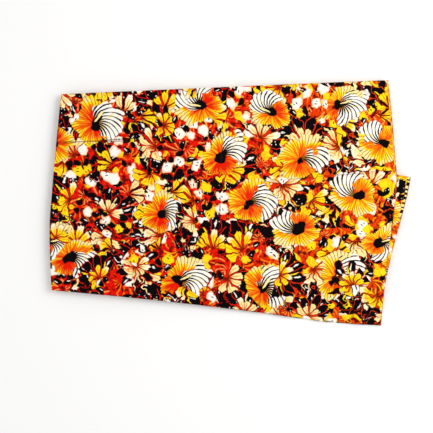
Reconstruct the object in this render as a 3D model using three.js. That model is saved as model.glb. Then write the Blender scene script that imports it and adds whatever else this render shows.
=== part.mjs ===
// A six-yard length of printed cotton, folded into a flat bundle and laid down.
//
// The cloth is first doubled along its middle, so its centre fold lies at the left and
// its two selvedges at the right. The doubled strip is then folded to and fro into turns.
// Most turns are hidden and share one stacked solid. The last fold line is askew, so the
// top panel is deeper at its right than at its left and hangs over the stack's front
// edge there, down to the surface. At that fold the cloth turns under the panel and back,
// and the corner of this tucked end shows at the right.
//
// Millimetres. +X runs to the selvedges, +Y to the back, +Z up. The origin is on the
// surface that the bundle lies on, under the middle of its outline.

import * as THREE from "three";

// ---- The cloth ----
const HIDDEN_TURNS = 14; // turns of doubled cloth under the tucked end
const TURN_THICKNESS = 0.83; // one pressed turn of two plies
const WALL = 1.2; // one loose turn of two plies, with the air between them
const GAP = 0.3; // between two stretches that lie on each other
const RIM_BULGE = 0.35; // how far a wall's rounded edge stands out

// ---- Levels of the walls' middles over the surface ----
const STACK_TOP = HIDDEN_TURNS * TURN_THICKNESS;
const TURN_RISE = WALL + GAP; // from one loose turn to the next
const TUCKED_LEVEL = STACK_TOP + GAP + WALL / 2;

// ---- The folds at the front and back of the top panel ----
const FOLD_RADIUS = TURN_RISE / 2; // of the wall's middle
const FOLD_REACH = FOLD_RADIUS + WALL / 2; // of the wall's outer face
const FOLD_STEPS = 5; // facets round one half turn
const RETURN_LENGTH = 6; // of the wall that has turned under

// ---- How the loose stretches hang ----
const EDGE_CLEAR = 8; // that they run on level past the stack's edge
const FRONT_RUN = 58; // length of the slope over the stack's front edge
const SIDE_RUN = 42; // length over which the corner at the right sinks
const SIDE_SHARE = 0.38; // of the full drop that this corner reaches
const FLOOR_GAP = 0.05; // under what lies on the surface beside the stack

// ---- Outlines from above. An edge's rows are the points between its corners, which run
// from left to right along a fold and from back to front along a side. ----
const TOP_PANEL = {
  backLeft: { x: -296.2, y: 191.0 },
  backRight: { x: 276.0, y: 215.7 },
  frontLeft: { x: -312.9, y: -152.6 },
  frontRight: { x: 265.6, y: -215.7 },
  back: [
    { x: -110.0, y: 199.2 },
    { x: 84.0, y: 207.7 },
  ],
  front: [
    { x: -183.5, y: -164.9 },
    { x: -71.4, y: -177.2 },
    { x: 40.7, y: -191.2 },
    { x: 152.9, y: -206.9 },
    { x: 208.9, y: -212.2 },
  ],
  left: [
    { x: -302.0, y: 134.0 },
    { x: -307.4, y: 77.0 },
    { x: -312.2, y: 20.0 },
    { x: -316.3, y: -38.0 },
    { x: -315.6, y: -98.0 },
  ],
  right: [
    { x: 284.0, y: 142.0 },
    { x: 289.2, y: 75.0 },
    { x: 291.2, y: 38.0 },
    { x: 286.0, y: -20.0 },
    { x: 277.6, y: -78.0 },
    { x: 270.4, y: -140.0 },
  ],
};

// The tucked end lies under the top panel, so it is stated as shares of that panel's
// width and depth. Its cut end and its left side run askew, and its right side juts out.
const TUCKED_END = {
  cutEnd: { left: 0.06, right: 0.394 }, // share of the depth where it starts
  leftSide: { atCutEnd: 0.08, atFold: 0.015 }, // share of the width where it starts
  jut: 25, // of its corner past the panel's right edge
  jutEnds: 0.87, // share of the depth where the two edges meet
  drawnIn: 2.5, // of its right edge at the fold
};

const STACK = {
  backLeft: { x: -292.6, y: 187.4 },
  backRight: { x: 272.0, y: 211.6 },
  frontLeft: { x: -310.4, y: -151.0 },
  frontRight: { x: 268.0, y: -141.0 },
  back: [{ x: -10.0, y: 199.6 }],
  front: [
    { x: -180.0, y: -150.2 },
    { x: 60.0, y: -146.4 },
  ],
  left: [
    { x: -300.0, y: 110.0 },
    { x: -308.6, y: 20.0 },
    { x: -312.4, y: -50.0 },
  ],
  right: [
    { x: 281.0, y: 120.0 },
    { x: 286.4, y: 42.0 },
    { x: 279.0, y: -42.0 },
  ],
};

// ---- How the stack is layered at its edges ----
const EDGE_GROOVE = 1.3; // depth between two turns that part at that edge
const JOINED_GROOVE = 0.3; // depth between two turns that one fold joins
const TURN_STRAY = 0.9; // how far a turn lies in or out of line
const TURN_BELLY = 0.3; // share of a turn's thickness that is rounded, at its top and its foot
const CORNER_CUT = 6; // length that a rounded corner takes from each edge
const CORNER_STEPS = 3;
const STACK_STEPS = { back: 11, right: 8, front: 11, left: 8 }; // points along each edge

const smooth = (t) => {
  const s = THREE.MathUtils.clamp(t, 0, 1);
  return s * s * (3 - 2 * s);
};

const toVector = ({ x, y }) => new THREE.Vector2(x, y);

// An edge of an outline as a smooth curve from one corner to the other.
function edgeCurve(start, rows, end) {
  return new THREE.SplineCurve([start, ...rows, end].map(toVector));
}

function edgeCurves(outline) {
  const { backLeft, backRight, frontLeft, frontRight } = outline;
  return {
    back: edgeCurve(backLeft, outline.back, backRight),
    front: edgeCurve(frontLeft, outline.front, frontRight),
    left: edgeCurve(backLeft, outline.left, frontLeft),
    right: edgeCurve(backRight, outline.right, frontRight),
  };
}

// The flat patch that an outline's four edges bound: u runs from left to right, v from
// back to front, and both from 0 to 1.
function flatPatch(outline) {
  const edge = edgeCurves(outline);
  const corner = {
    backLeft: toVector(outline.backLeft),
    backRight: toVector(outline.backRight),
    frontLeft: toVector(outline.frontLeft),
    frontRight: toVector(outline.frontRight),
  };
  return (u, v) =>
    new THREE.Vector2()
      .addScaledVector(edge.back.getPointAt(u), 1 - v)
      .addScaledVector(edge.front.getPointAt(u), v)
      .addScaledVector(edge.left.getPointAt(v), 1 - u)
      .addScaledVector(edge.right.getPointAt(v), u)
      .addScaledVector(corner.backLeft, -(1 - u) * (1 - v))
      .addScaledVector(corner.backRight, -u * (1 - v))
      .addScaledVector(corner.frontLeft, -(1 - u) * v)
      .addScaledVector(corner.frontRight, -u * v);
}

// How far a point lies past the line from a to b, on the line's left-hand side.
function pastLine(point, a, b) {
  const along = toVector(b).sub(toVector(a)).normalize();
  const offset = point.clone().sub(toVector(a));
  return along.x * offset.y - along.y * offset.x;
}

// How far the loose stretches have sunk at a point: fully past the stack's front edge,
// partly past its right edge, and not at all over the stack.
function sunk(point) {
  const pastFront = pastLine(point, STACK.frontRight, STACK.frontLeft) - EDGE_CLEAR;
  const pastSide = -pastLine(point, STACK.frontRight, STACK.right[1]) - EDGE_CLEAR;
  const frontShare = smooth(pastFront / FRONT_RUN);
  const sideShare = SIDE_SHARE * smooth(pastSide / SIDE_RUN);
  const share = 1 - (1 - frontShare) * (1 - sideShare);
  return share * (STACK_TOP + GAP - FLOOR_GAP);
}

// A closed wall round a grid of middle points, grid[row][column], with rounded rims.
function wallGeometry(grid) {
  const rows = grid.length;
  const columns = grid[0].length;
  const at = (r, c) =>
    grid[THREE.MathUtils.clamp(r, 0, rows - 1)][THREE.MathUtils.clamp(c, 0, columns - 1)];
  const along = (r, c) => at(r + 1, c).clone().sub(at(r - 1, c)).normalize();
  const across = (r, c) => at(r, c + 1).clone().sub(at(r, c - 1)).normalize();
  const positions = [];
  const faces = [];
  const upper = (r, c) => r * columns + c;
  const lower = (r, c) => rows * columns + upper(r, c);

  for (const side of [1, -1]) {
    for (let r = 0; r < rows; r++) {
      for (let c = 0; c < columns; c++) {
        const normal = along(r, c).cross(across(r, c)).normalize();
        const point = at(r, c).clone().addScaledVector(normal, (side * WALL) / 2);
        positions.push(point.x, point.y, point.z);
      }
    }
  }
  for (let r = 0; r + 1 < rows; r++) {
    for (let c = 0; c + 1 < columns; c++) {
      faces.push(upper(r, c), upper(r + 1, c), upper(r + 1, c + 1));
      faces.push(upper(r, c), upper(r + 1, c + 1), upper(r, c + 1));
      faces.push(lower(r, c), lower(r + 1, c + 1), lower(r + 1, c));
      faces.push(lower(r, c), lower(r, c + 1), lower(r + 1, c + 1));
    }
  }

  const loop = [];
  for (let c = 0; c < columns - 1; c++) loop.push([0, c]);
  for (let r = 0; r < rows - 1; r++) loop.push([r, columns - 1]);
  for (let c = columns - 1; c > 0; c--) loop.push([rows - 1, c]);
  for (let r = rows - 1; r > 0; r--) loop.push([r, 0]);
  const rimStart = positions.length / 3;
  for (const [r, c] of loop) {
    const out = new THREE.Vector3();
    if (r === 0) out.sub(along(r, c));
    if (r === rows - 1) out.add(along(r, c));
    if (c === 0) out.sub(across(r, c));
    if (c === columns - 1) out.add(across(r, c));
    const point = at(r, c).clone().addScaledVector(out.normalize(), RIM_BULGE);
    positions.push(point.x, point.y, point.z);
  }
  loop.forEach(([r, c], i) => {
    const next = (i + 1) % loop.length;
    const [nextRow, nextColumn] = loop[next];
    const rim = rimStart + i;
    const nextRim = rimStart + next;
    faces.push(upper(r, c), upper(nextRow, nextColumn), nextRim, upper(r, c), nextRim, rim);
    faces.push(rim, nextRim, lower(nextRow, nextColumn));
    faces.push(rim, lower(nextRow, nextColumn), lower(r, c));
  });

  const geometry = new THREE.BufferGeometry();
  geometry.setAttribute("position", new THREE.Float32BufferAttribute(positions, 3));
  geometry.setIndex(faces);
  return geometry;
}

// Even shares from 0 to 1, with the given number of steps.
const shares = (steps) => Array.from({ length: steps + 1 }, (_, i) => i / steps);

const place = (point, level) => new THREE.Vector3(point.x, point.y, level - sunk(point));

// The stations of a fold's half turn and return, from the panel's level round the outside
// to the tucked level. Each has its distance in from the fold line and its level.
function foldStations() {
  const centreLevel = TUCKED_LEVEL + FOLD_RADIUS;
  const turn = shares(FOLD_STEPS).map((share) => {
    const angle = Math.PI * (0.5 - share);
    return {
      inward: FOLD_REACH - FOLD_RADIUS * Math.cos(angle),
      level: centreLevel + FOLD_RADIUS * Math.sin(angle),
    };
  });
  return [...turn, { inward: FOLD_REACH + RETURN_LENGTH, level: TUCKED_LEVEL }];
}

// Shares of the panel's width and depth where the walls have their points: few where the
// cloth lies level, more where it slopes. Both walls use the same ones, so that they keep
// their distance.
const LEVEL_COLUMNS = 12;
const SLOPE_COLUMNS = 10;
const SIDE_SLOPE_FROM = 0.86;
const LEVEL_ROWS = 6;
const SLOPE_ROWS = 16;
const FRONT_SLOPE_FROM = 0.66;

function stagedShares(levelSteps, slopeSteps, slopeFrom) {
  const level = shares(levelSteps).slice(0, -1).map((share) => share * slopeFrom);
  const slope = shares(slopeSteps).map((share) => slopeFrom + share * (1 - slopeFrom));
  return [...level, ...slope];
}

const panelColumns = stagedShares(LEVEL_COLUMNS, SLOPE_COLUMNS, SIDE_SLOPE_FROM);
const panelRows = stagedShares(LEVEL_ROWS, SLOPE_ROWS, FRONT_SLOPE_FROM);
const panelPatch = flatPatch(TOP_PANEL);
const panelDepth = (u) => panelPatch(u, 0).distanceTo(panelPatch(u, 1));

// The top panel with its folds: a wall along the path back return, back fold, panel,
// front fold, front return.
function topPanelGeometry() {
  const foldRow = (station, fromFront) =>
    panelColumns.map((u) => {
      const share = station.inward / panelDepth(u);
      return place(panelPatch(u, fromFront ? 1 - share : share), station.level);
    });
  const fold = foldStations();
  return wallGeometry([
    ...fold.map((station) => foldRow(station, false)).reverse(),
    ...panelRows.slice(1, -1).map((v) =>
      panelColumns.map((u) => place(panelPatch(u, v), TUCKED_LEVEL + TURN_RISE)),
    ),
    ...fold.map((station) => foldRow(station, true)),
  ]);
}

// How far the tucked end's right edge lies out from the panel's at a share of the depth.
function jutAt(v) {
  const { cutEnd, jut, jutEnds, drawnIn } = TUCKED_END;
  if (v > jutEnds) return -drawnIn * smooth((v - jutEnds) / (1 - jutEnds));
  const share = (jutEnds - v) / (jutEnds - cutEnd.right);
  return jut * Math.min(share, 1) ** 1.25;
}

// The tucked end: a single wall between the stack and the top panel.
function tuckedEndGeometry() {
  const { cutEnd, leftSide } = TUCKED_END;
  const LEVEL_END_ROWS = 5;
  const inFromFold = FOLD_REACH + RETURN_LENGTH + GAP + 2 * RIM_BULGE;
  const slopeRows = panelRows.filter((v) => v >= FRONT_SLOPE_FROM).slice(0, -2);
  const rows = [
    ...shares(LEVEL_END_ROWS).slice(0, -1).map((share) => ({ level: share })),
    ...slopeRows.map((v) => ({ v })),
    { last: true },
  ];
  return wallGeometry(
    rows.map((row) =>
      panelColumns.map((u) => {
        const start = THREE.MathUtils.lerp(cutEnd.left, cutEnd.right, u);
        let v = row.v;
        if (row.last) v = 1 - inFromFold / panelDepth(u);
        if (row.level !== undefined) v = THREE.MathUtils.lerp(start, FRONT_SLOPE_FROM, row.level);
        const left = THREE.MathUtils.lerp(leftSide.atCutEnd, leftSide.atFold, v);
        const point = panelPatch(Math.max(u, left * (1 - u) + u * u), v);
        const out = Math.max(0, (u - SIDE_SLOPE_FROM) / (1 - SIDE_SLOPE_FROM));
        point.x += out * jutAt(v);
        return place(point, TUCKED_LEVEL);
      }),
    ),
  );
}

// The stack's outline as points with the name of the edge that each lies on, clockwise
// from above, with rounded corners.
function stackOutline() {
  const edge = edgeCurves(STACK);
  const run = [
    { name: "back", curve: edge.back, forward: true },
    { name: "right", curve: edge.right, forward: true },
    { name: "front", curve: edge.front, forward: false },
    { name: "left", curve: edge.left, forward: false },
  ];
  const pointOn = ({ curve, forward }, distance) => {
    const length = curve.getLength();
    return curve.getPointAt((forward ? distance : length - distance) / length);
  };
  const points = [];
  run.forEach((part, i) => {
    const length = part.curve.getLength();
    const clear = length - 2 * CORNER_CUT;
    for (const share of shares(STACK_STEPS[part.name])) {
      points.push({ name: part.name, point: pointOn(part, CORNER_CUT + share * clear) });
    }
    const next = run[(i + 1) % run.length];
    const corner = new THREE.QuadraticBezierCurve(
      pointOn(part, length - CORNER_CUT),
      pointOn(part, length),
      pointOn(next, CORNER_CUT),
    );
    for (const share of shares(CORNER_STEPS).slice(1, -1)) {
      points.push({ name: share < 0.5 ? part.name : next.name, point: corner.getPoint(share) });
    }
  });
  return points;
}

// How far a turn strays in from the stack's outline at one edge.
function turnStray(turn, name) {
  const phase = { back: 0.4, right: 1.9, front: 3.1, left: 4.7 }[name];
  const wave = Math.sin(2.4 * turn + phase) + 0.5 * Math.sin(5.1 * turn + 2 * phase);
  return TURN_STRAY * (0.67 + 0.67 * wave);
}

// Depth of the groove over a turn. Folds join every second pair at the front and the
// other pairs at the back, and the sides are open all the way.
function grooveDepth(turn, name) {
  const joined =
    (name === "front" && turn % 2 === 0) || (name === "back" && turn % 2 === 1);
  return joined ? JOINED_GROOVE : EDGE_GROOVE;
}

// The hidden turns: rings of the stack's outline, one over the other, in and out.
function stackGeometry() {
  const outline = stackOutline();
  const count = outline.length;
  const inward = outline.map((_, i) => {
    const before = outline[(i + count - 1) % count].point;
    const after = outline[(i + 1) % count].point;
    const along = after.clone().sub(before).normalize();
    return new THREE.Vector2(along.y, -along.x);
  });
  const rings = [];
  const addRing = (level, insetOf) => rings.push({ level, insetOf });
  for (let turn = 0; turn < HIDDEN_TURNS; turn++) {
    const foot = turn * TURN_THICKNESS;
    const stray = (name) => Math.max(0, turnStray(turn, name));
    const joinedInset = (name) => stray(name) + grooveDepth(turn, name);
    if (turn === 0) addRing(0, (name) => stray(name) + RIM_BULGE);
    addRing(foot + TURN_BELLY * TURN_THICKNESS, stray);
    addRing(foot + (1 - TURN_BELLY) * TURN_THICKNESS, stray);
    if (turn < HIDDEN_TURNS - 1) addRing(foot + TURN_THICKNESS, joinedInset);
  }
  const topTurn = (name) => Math.max(0, turnStray(HIDDEN_TURNS - 1, name)) + RIM_BULGE;
  addRing(STACK_TOP, topTurn);

  const positions = [];
  for (const { level, insetOf } of rings) {
    outline.forEach(({ name, point }, i) => {
      const p = point.clone().addScaledVector(inward[i], insetOf(name));
      positions.push(p.x, p.y, level);
    });
  }
  const faces = [];
  for (let r = 0; r + 1 < rings.length; r++) {
    for (let i = 0; i < count; i++) {
      const next = (i + 1) % count;
      const [a, b] = [r * count + i, r * count + next];
      faces.push(a, a + count, b + count, a, b + count, b);
    }
  }
  const ringPoints = (r) =>
    outline.map((_, i) => {
      const k = 3 * (r * count + i);
      return new THREE.Vector2(positions[k], positions[k + 1]);
    });
  const top = rings.length - 1;
  for (const [a, b, c] of THREE.ShapeUtils.triangulateShape(ringPoints(0), [])) {
    faces.push(...clockwise(ringPoints(0), a, b, c));
  }
  for (const [a, b, c] of THREE.ShapeUtils.triangulateShape(ringPoints(top), [])) {
    faces.push(...clockwise(ringPoints(top), a, b, c).reverse().map((i) => top * count + i));
  }
  const geometry = new THREE.BufferGeometry();
  geometry.setAttribute("position", new THREE.Float32BufferAttribute(positions, 3));
  geometry.setIndex(faces);
  return geometry;
}

// A triangle's corners in clockwise order from above.
function clockwise(points, a, b, c) {
  const area = THREE.ShapeUtils.area([points[a], points[b], points[c]]);
  return area < 0 ? [a, b, c] : [a, c, b];
}

const printedCotton = (color) =>
  new THREE.MeshStandardMaterial({ color, roughness: 0.78, metalness: 0 });

function clothPiece(name, geometry, color) {
  const mesh = new THREE.Mesh(geometry, printedCotton(color));
  mesh.name = name;
  return mesh;
}

const bundle = new THREE.Group();
bundle.name = "folded_cloth";
bundle.add(clothPiece("hidden_layers", stackGeometry(), 0xb5301a));
bundle.add(clothPiece("tucked_end", tuckedEndGeometry(), 0xf2a51e));
bundle.add(clothPiece("top_panel", topPanelGeometry(), 0xe2571d));

export default bundle;
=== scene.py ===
# %% [markdown]
# # A folded piece of wax print cotton
# Six yards of printed cotton lie on a pale table, folded into a flat bundle. The packed
# model already holds the bundle's true sizes as three plain solids. This lesson dresses
# each of them in cloth: thin plies, round fold lines, open selvedges and the print.

import bmesh
import bpy
import numpy as np
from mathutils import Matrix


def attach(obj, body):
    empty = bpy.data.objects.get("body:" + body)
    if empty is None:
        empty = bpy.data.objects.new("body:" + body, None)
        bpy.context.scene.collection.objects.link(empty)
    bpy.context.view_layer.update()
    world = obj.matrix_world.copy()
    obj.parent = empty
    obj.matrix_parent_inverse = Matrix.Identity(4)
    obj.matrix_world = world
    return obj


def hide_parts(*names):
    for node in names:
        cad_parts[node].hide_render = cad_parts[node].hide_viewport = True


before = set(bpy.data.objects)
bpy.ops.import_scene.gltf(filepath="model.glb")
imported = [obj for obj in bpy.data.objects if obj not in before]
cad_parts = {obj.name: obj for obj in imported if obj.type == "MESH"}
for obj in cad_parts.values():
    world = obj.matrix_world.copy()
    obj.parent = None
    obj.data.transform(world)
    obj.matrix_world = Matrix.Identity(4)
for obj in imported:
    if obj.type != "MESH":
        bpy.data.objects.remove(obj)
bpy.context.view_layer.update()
MM = 0.001
print("nodes:", sorted(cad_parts))

# %% [markdown]
# ## Where the viewer stands
# The bundle is looked at from straight above. A long lens keeps the outline free of
# perspective, and the camera needs no turn at all, because an unturned camera already
# looks down -Z with +Y up. Its height follows from the width that it has to take in.

# %% Camera
VIEW_WIDTH = 758.6 * MM
VIEW_MIDDLE = (-24.6 * MM, -23.4 * MM)
CLOTH_TOP = 14.0 * MM
LENS, SENSOR = 85.0, 36.0

camera = bpy.data.objects.new("viewer", bpy.data.cameras.new("viewer"))
camera.data.lens = LENS
camera.data.sensor_width = SENSOR
camera.data.clip_end = 20
camera.location = (*VIEW_MIDDLE, CLOTH_TOP + VIEW_WIDTH * LENS / SENSOR)
bpy.context.scene.collection.objects.link(camera)
bpy.context.scene.camera = camera
print(f"camera height {camera.location.z:.3f} m")

# %% [markdown]
# ## Table and light
# Bright saturated dyes need a neutral setting: a nearly white table, a wide soft lamp from
# the right that leaves small shadows under the edges, and a weaker one opposite. The
# Standard view keeps the dyes as strong as they are mixed.

# %% Table top
TABLE_HALF = 3.0
TABLE_CLEARANCE = 0.2 * MM


def in_scene(name, form):
    """Makes a finished form an object of the scene."""
    mesh = bpy.data.meshes.new(name)
    form.to_mesh(mesh)
    form.free()
    piece = bpy.data.objects.new(name, mesh)
    bpy.context.scene.collection.objects.link(piece)
    return piece


def plain_finish(name, color, roughness):
    finish = bpy.data.materials.new(name)
    finish.use_nodes = True
    surface = finish.node_tree.nodes["Principled BSDF"]
    surface.inputs["Base Color"].default_value = (*color, 1)
    surface.inputs["Roughness"].default_value = roughness
    surface.inputs["Specular IOR Level"].default_value = 0.2
    return finish


table_form = bmesh.new()
bmesh.ops.create_grid(table_form, x_segments=1, y_segments=1, size=TABLE_HALF)
bmesh.ops.translate(table_form, verts=table_form.verts, vec=(0, 0, -TABLE_CLEARANCE))
table_top = in_scene("table_top", table_form)
table_top.data.materials.append(plain_finish("pale_table", (0.93, 0.93, 0.925), 0.9))

# %% Lamps and air
def soft_lamp(name, place, aim, size, power, color):
    lamp = bpy.data.objects.new(name, bpy.data.lights.new(name, "AREA"))
    lamp.data.shape = "DISK"
    lamp.data.size = size
    lamp.data.energy = power
    lamp.data.color = color
    lamp.location = place
    direction = np.subtract(aim, place)
    lamp.rotation_euler = (
        np.arccos(-direction[2] / np.linalg.norm(direction)),
        0,
        np.arctan2(direction[1], direction[0]) - np.pi / 2,
    )
    bpy.context.scene.collection.objects.link(lamp)


soft_lamp("key_lamp", place=(1.15, 0.45, 1.45), aim=(0.1, 0, 0),
          size=1.3, power=18, color=(1.0, 0.98, 0.95))
soft_lamp("fill_lamp", place=(-1.5, -0.6, 1.9), aim=(0, 0, 0),
          size=1.6, power=5, color=(0.97, 0.98, 1.0))

air = bpy.data.worlds.new("studio_air")
air.use_nodes = True
glow = air.node_tree.nodes["Background"]
glow.inputs["Color"].default_value = (1, 1, 1, 1)
glow.inputs["Strength"].default_value = 0.74
bpy.context.scene.world = air
bpy.context.scene.view_settings.view_transform = "Standard"

# %% [markdown]
# ## The bundle's outline
# Each edge of the cloth is a gentle curve, not a ruled line: the plies creep as they are
# folded. The same corner and edge points that shape the solids are set down here in
# millimetres, and a smooth curve in metres is drawn through them. A patch between four such
# edges then turns two shares, across and along, into a place on the table.

# %% Edges and patches
STEPS_PER_POINT = 40


def smooth(t):
    s = np.clip(t, 0, 1)
    return s * s * (3 - 2 * s)


class EdgeLine:
    """A smooth curve through points, read by its share of the length."""

    def __init__(self, *points):
        knots = np.array(points, float) * MM
        last = len(knots) - 1
        steps = np.linspace(0, last, STEPS_PER_POINT * last + 1)
        knot = np.minimum(steps.astype(int), last - 1)
        t = (steps - knot)[:, None]
        before, start = knots[np.maximum(knot - 1, 0)], knots[knot]
        end, after = knots[knot + 1], knots[np.minimum(knot + 2, last)]
        leave, arrive = (end - before) / 2, (after - start) / 2
        self.line = (
            (2 * start - 2 * end + leave + arrive) * t**3
            + (-3 * start + 3 * end - 2 * leave - arrive) * t**2
            + leave * t
            + start
        )
        lengths = np.linalg.norm(np.diff(self.line, axis=0), axis=1)
        self.share = np.concatenate([[0], np.cumsum(lengths)])
        self.length = self.share[-1]
        self.share /= self.length

    def at(self, share):
        x = np.interp(share, self.share, self.line[:, 0])
        y = np.interp(share, self.share, self.line[:, 1])
        return np.stack([x, y], -1)


class Patch:
    """The flat area that four edges bound."""

    def __init__(self, back, front, left, right):
        self.back, self.front, self.left, self.right = back, front, left, right

    def at(self, u, v):
        u, v = np.broadcast_arrays(u, v)
        a, b = u[..., None], v[..., None]
        corner = [e.at(s) for e in (self.back, self.front) for s in (0.0, 1.0)]
        rails = (1 - b) * self.back.at(u) + b * self.front.at(u)
        rails = rails + (1 - a) * self.left.at(v) + a * self.right.at(v)
        flat = (1 - a) * (1 - b) * corner[0] + a * (1 - b) * corner[1]
        return rails - flat - (1 - a) * b * corner[2] - a * b * corner[3]

    def depth(self, u):
        return np.linalg.norm(self.at(u, 1.0) - self.at(u, 0.0), axis=-1)


PANEL = Patch(
    back=EdgeLine((-296.2, 191.0), (-110.0, 199.2), (84.0, 207.7), (276.0, 215.7)),
    front=EdgeLine((-312.9, -152.6), (-183.5, -164.9), (-71.4, -177.2), (40.7, -191.2),
                   (152.9, -206.9), (208.9, -212.2), (265.6, -215.7)),
    left=EdgeLine((-296.2, 191.0), (-302.0, 134.0), (-307.4, 77.0), (-312.2, 20.0),
                  (-316.3, -38.0), (-315.6, -98.0), (-312.9, -152.6)),
    right=EdgeLine((276.0, 215.7), (284.0, 142.0), (289.2, 75.0), (291.2, 38.0),
                   (286.0, -20.0), (277.6, -78.0), (270.4, -140.0), (265.6, -215.7)),
)
STACK_BACK = EdgeLine((-292.6, 187.4), (-10.0, 199.6), (272.0, 211.6))
STACK_RIGHT = EdgeLine((272.0, 211.6), (281.0, 120.0), (286.4, 42.0), (279.0, -42.0),
                       (268.0, -141.0))
STACK_FRONT = EdgeLine((268.0, -141.0), (60.0, -146.4), (-180.0, -150.2), (-310.4, -151.0))
STACK_LEFT = EdgeLine((-310.4, -151.0), (-312.4, -50.0), (-308.6, 20.0), (-300.0, 110.0),
                      (-292.6, 187.4))
print(f"panel depth {PANEL.depth(0.0):.3f} m at the left, {PANEL.depth(1.0):.3f} m at the right")

# %% [markdown]
# ## How the loose stretches lie
# Under the top panel lie the tucked end and fourteen hidden turns of doubled cloth. The
# front fold is askew, so the panel reaches past the stack there and sinks to the table
# under its own weight. These are the levels of the model's solids, and the sink is a
# smooth slope, because starched cotton bends in a wide curve and doesn't drop like water.

# %% Levels
TURNS = 14
TURN_THICKNESS = 0.83 * MM
WALL = 1.2 * MM
GAP = 0.3 * MM
STACK_TOP = TURNS * TURN_THICKNESS
TURN_RISE = WALL + GAP
TUCKED_LEVEL = STACK_TOP + GAP + WALL / 2
FOLD_RADIUS = TURN_RISE / 2
FOLD_REACH = FOLD_RADIUS + WALL / 2
RETURN_LENGTH = 6 * MM
EDGE_CLEAR, FRONT_RUN, SIDE_RUN, SIDE_SHARE = 8 * MM, 58 * MM, 42 * MM, 0.38
ABOVE_TABLE = 0.05 * MM
FULL_DROP = STACK_TOP + GAP - ABOVE_TABLE


def past_line(place, a, b):
    a, b = np.array(a) * MM, np.array(b) * MM
    along = (b - a) / np.linalg.norm(b - a)
    return along[0] * (place[..., 1] - a[1]) - along[1] * (place[..., 0] - a[0])


RIPPLE_LEAN, RIPPLE_FOOT = 0.25, -180 * MM
RIPPLES = [  # x in mm, height and half width in mm of each ripple in the loose front
    (-96, 1.6, 26), (-22, 2.4, 19), (34, 1.5, 24), (101, 2.8, 17), (166, 1.9, 26), (232, 2.3, 15),
]


def sunk(place):
    """How far below its level the loose cloth lies, with soft ripples left in it."""
    past_front = past_line(place, (268.0, -141.0), (-310.4, -151.0)) - EDGE_CLEAR
    past_side = -past_line(place, (268.0, -141.0), (286.4, 42.0)) - EDGE_CLEAR
    kept = (1 - smooth(past_front / FRONT_RUN)) * (1 - SIDE_SHARE * smooth(past_side / SIDE_RUN))
    rippled = np.zeros(place.shape[:-1])
    for x, height, half_width in RIPPLES:
        middle = x * MM + RIPPLE_LEAN * (place[..., 1] - RIPPLE_FOOT)
        rippled += height * MM * np.exp(-(((place[..., 0] - middle) / (half_width * MM)) ** 2))
    return (1 - kept) * FULL_DROP - rippled * smooth(past_front / FRONT_RUN)


# %% [markdown]
# ## Creases
# A bundle that has been pressed, stacked and handled keeps soft marks: ridges where it was
# folded another way before, long low swells where air is caught, and a faint step where
# the hidden end of the cloth stops. Each mark is given as a line with its own height and
# width. They only lift the panel, so it never cuts into what lies under it.

# %% Marks in the panel
CREASES = [  # from x, y to x, y, height, half width, all in mm
    (-12, 205, -22, -180, 1.1, 4.0), (-300, 106, -60, 112, 0.9, 4.5),
    (60, 38, 286, 58, 0.9, 4.5), (-210, 170, -120, 60, 1.0, 8.0),
    (120, 190, 205, 96, 0.9, 7.0), (-290, -40, -120, -110, 1.1, 9.0),
    (60, -60, 190, -110, 1.3, 10.0), (150, -160, 262, -70, 1.7, 7.0),
    (205, -200, 262, -130, 1.8, 5.5), (90, -195, 140, -140, 1.4, 6.5),
    (-60, -168, -20, -100, 1.0, 7.0), (-180, -160, -150, -90, 0.8, 6.0),
    (240, 130, 282, 20, 1.2, 7.0), (-270, 180, -240, 120, 0.9, 6.5),
]
SWELLS = [  # x, y, height, reach, all in mm
    (-200, 90, 1.3, 80), (-70, -40, 1.1, 75), (90, 110, 1.3, 85), (180, -20, 1.2, 65),
    (-230, -70, 0.9, 55), (20, 180, 0.8, 55), (230, -120, 1.6, 50), (120, -130, 1.4, 55),
]


def marks(place):
    lift = np.zeros(place.shape[:-1])
    for x0, y0, x1, y1, height, half_width in CREASES:
        start, end = np.array((x0, y0)) * MM, np.array((x1, y1)) * MM
        run = end - start
        share = np.clip((place - start) @ run / (run @ run), 0, 1)
        away = np.linalg.norm(place - start - share[..., None] * run, axis=-1)
        fade = np.sin(np.pi * np.clip(share * 0.92 + 0.04, 0, 1)) ** 0.5
        lift += height * MM * fade * np.exp(-(away / (half_width * MM)) ** 2)
    for x, y, height, reach in SWELLS:
        away = np.linalg.norm(place - np.array((x, y)) * MM, axis=-1)
        lift += height * MM * np.exp(-(away / (reach * MM)) ** 2)
    return lift


# %% [markdown]
# ## Folding a flat sheet
# Cloth is made flat, so each stretch starts here as a flat grid too. Its columns run over
# the doubled width: from one selvedge at the right, round the centre fold at the left, and
# back under itself to the other selvedge. Folding moves every point of the grid to its
# place, and the flat place stays with it as the UV map, in metres, so the print and the
# weave go round each fold as they do on real cloth. A second map holds the distance from the
# selvedge. A Solidify modifier gives the ply.

# %% Folding
PLY = 0.38 * MM
PLY_OFFSET = (WALL - PLY) / 2
CENTRE_FOLD_STEPS = 6
CREEP_FROM = 0.9
HALF_WIDTH = 582.5 * MM


def surface_normals(middle):
    along, across = np.gradient(middle, axis=0), np.gradient(middle, axis=1)
    normal = np.cross(along, across)
    return normal / np.linalg.norm(normal, axis=-1, keepdims=True)


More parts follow.
